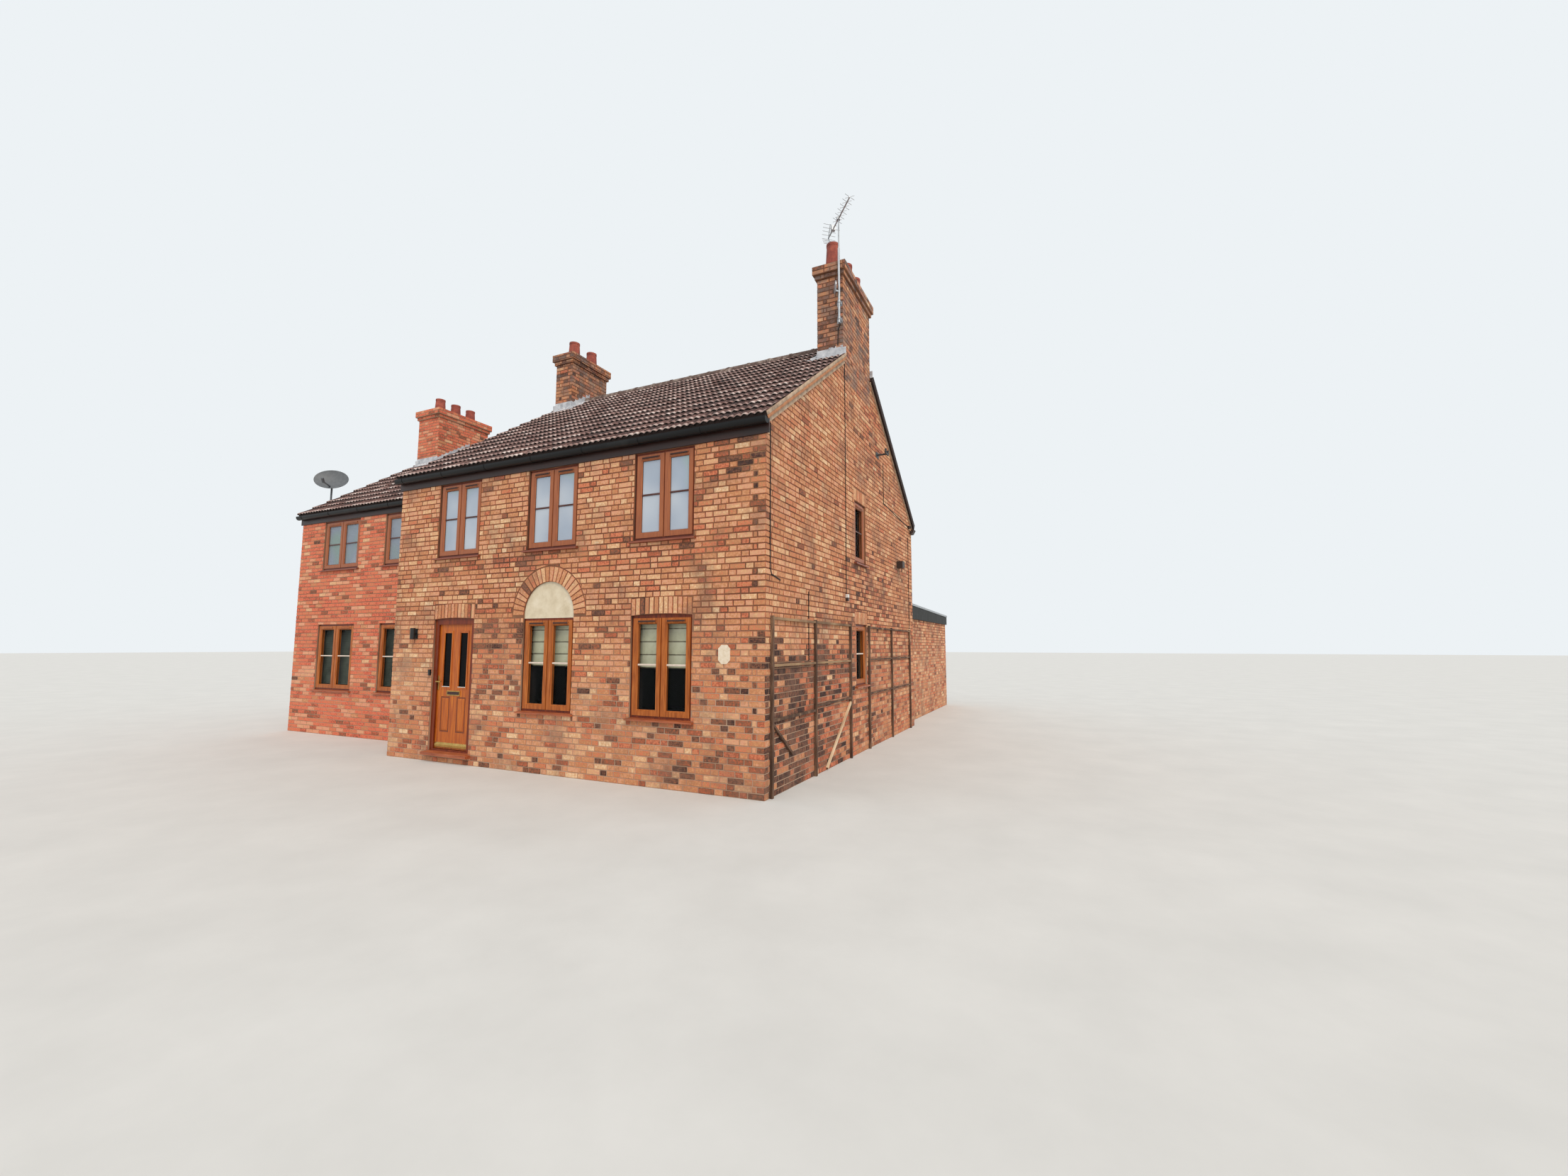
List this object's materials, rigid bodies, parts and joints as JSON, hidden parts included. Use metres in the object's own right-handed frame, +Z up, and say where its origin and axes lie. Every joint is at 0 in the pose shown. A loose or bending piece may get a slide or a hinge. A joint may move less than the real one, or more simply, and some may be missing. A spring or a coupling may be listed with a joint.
{
  "type": "detached house",
  "caption": "Detached brick house with a gabled tile roof, a lower wing set back on one side, a flat-roofed rear extension, brick chimneys, casement windows and a hinged front door",
  "frame": {"origin": "bottom centre of the bounding box, on the ground", "axes": "+X to the right seen from the front, +Y towards the back, +Z up; the front door faces -Y"},
  "size_m": [12.5276, 13.299, 9.2939],
  "materials": {
    "brick_weathered": "weathered multi-colour facing brick",
    "brick_red": "newer pink-red facing brick",
    "brick_orange": "orange-red facing brick",
    "brick_arch": "rubbed brick on end",
    "concrete": "floated concrete",
    "floor_timber": "softwood boards on joists",
    "roof_tile": "dark brown concrete interlocking tiles",
    "ridge_tile": "concrete half-round ridge tiles",
    "terracotta": "unglazed clay",
    "lead": "grey lead with white streaks",
    "verge": "cement mortar and board",
    "fascia_plastic": "dark red-brown wood-grain board",
    "gutter_plastic": "black gloss",
    "render": "cream painted render",
    "frame_plastic": "red-brown wood-grain foil",
    "sash_plastic": "golden-brown wood-grain foil",
    "glass": "clear double glazing",
    "sill_plastic": "golden-brown wood-grain foil",
    "blind_cloth": "cream cloth",
    "door_plastic": "golden-brown wood-grain foil",
    "door_glazing": "dark patterned glass",
    "brass_fittings": "polished, slightly dull",
    "lamp_black": "black satin",
    "lamp_brown": "dark brown satin",
    "plaque_stone": "cream, smooth",
    "bracket_steel": "galvanised steel and grey porcelain",
    "cable": "black sheathing",
    "trellis_wood": "weathered softwood",
    "aerial_metal": "dull aluminium",
    "dish_metal": "dark grey perforated steel",
    "flat_roof": "grey roofing sheet",
    "ext_fascia": "dark grey board",
    "ext_trim": "light grey edge trim"
  },
  "bodies": {
    "house": {"front_wall_left": "brick_weathered", "front_wall_right": "brick_weathered", "front_wall_upper": "brick_weathered", "right_gable_wall": "brick_weathered", "left_gable_wall": "brick_weathered", "back_wall": "brick_weathered", "wing_front_wall": "brick_red", "wing_end_wall": "brick_red", "wing_back_wall": "brick_red", "extension_side_walls": "brick_orange", "extension_back_wall": "brick_orange", "ground_floors": "concrete", "upper_floors": "floor_timber", "main_roof_front": "roof_tile", "main_roof_back": "roof_tile", "wing_roof_front": "roof_tile", "wing_roof_back": "roof_tile", "ridge_tiles": "ridge_tile", "right_chimney": "brick_weathered", "left_chimney": "brick_weathered", "wing_chimney": "brick_red", "chimney_pots": "terracotta", "chimney_flashings": "lead", "verge_trims": "verge", "fascia_boards": "fascia_plastic", "gutters": "gutter_plastic", "brick_arches": "brick_arch", "arch_panel": "render", "window_frames": "frame_plastic", "window_sashes": "sash_plastic", "window_glass": "glass", "wing_window_frames": "frame_plastic", "wing_window_sashes": "sash_plastic", "wing_window_glass": "glass", "window_sills": "sill_plastic", "window_blinds": "blind_cloth", "door_frame": "frame_plastic", "door_hinges": "brass_fittings", "door_sill": "sill_plastic", "wall_light": "lamp_black", "gable_lamps": "lamp_brown", "name_plaque": "plaque_stone", "service_bracket": "bracket_steel", "wall_cables": "cable", "front_trellis": "trellis_wood", "rear_trellis": "trellis_wood", "tv_aerial": "aerial_metal", "satellite_dish": "dish_metal", "extension_roof": "flat_roof", "extension_fascia": "ext_fascia", "extension_trim": "ext_trim"},
    "front_door": {"door_leaf": "door_plastic", "door_glass": "door_glazing", "door_furniture": "brass_fittings"}
  },
  "joints": [
    {"name": "front_door_hinge", "type": "hinge", "parent": "house", "child": "front_door", "pos_m": [0.82233, -6.401, 0.4], "axis": [0, 0, -1], "range_deg": [0, 90]}
  ]
}
